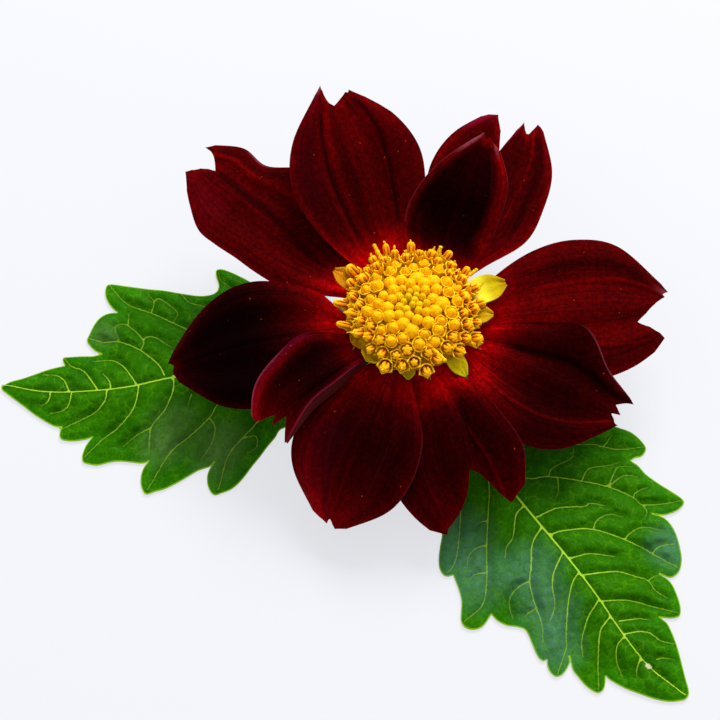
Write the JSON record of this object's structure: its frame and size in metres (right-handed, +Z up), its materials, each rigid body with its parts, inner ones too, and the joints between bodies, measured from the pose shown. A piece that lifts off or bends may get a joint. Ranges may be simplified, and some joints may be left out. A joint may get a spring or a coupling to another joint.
{
  "type": "dahlia flower",
  "caption": "Single-flowered dahlia with broad notched petals round a domed disc of florets, cut with a short stem and a pair of toothed leaves, lying face up.",
  "frame": {"origin": "on the surface, under the middle of the whole flower's box", "axes": "+Z up out of the face of the bloom; +X along the longest extent, from the left leaf's tip to the right; the cut stem points to +Y"},
  "size_m": [0.1104, 0.0952, 0.03],
  "materials": {
    "petal": "matte",
    "floret": "satin",
    "leaf": "satin",
    "inner_bract": "satin",
    "outer_bract": "satin",
    "stem": "satin"
  },
  "bodies": {
    "root": {"petal_01_right": "petal", "petal_02_upper_right": "petal", "petal_03_top_inner": "petal", "petal_04_top": "petal", "petal_05_upper_left": "petal", "petal_06_left": "petal", "petal_07_lower_left": "petal", "petal_08_bottom": "petal", "petal_09_lower_right": "petal", "petal_10_right_front": "petal", "disc": "floret", "inner_bracts": "inner_bract", "outer_bracts": "outer_bract", "stem": "stem", "leaf_left": "leaf", "leaf_right": "leaf"}
  },
  "joints": []
}
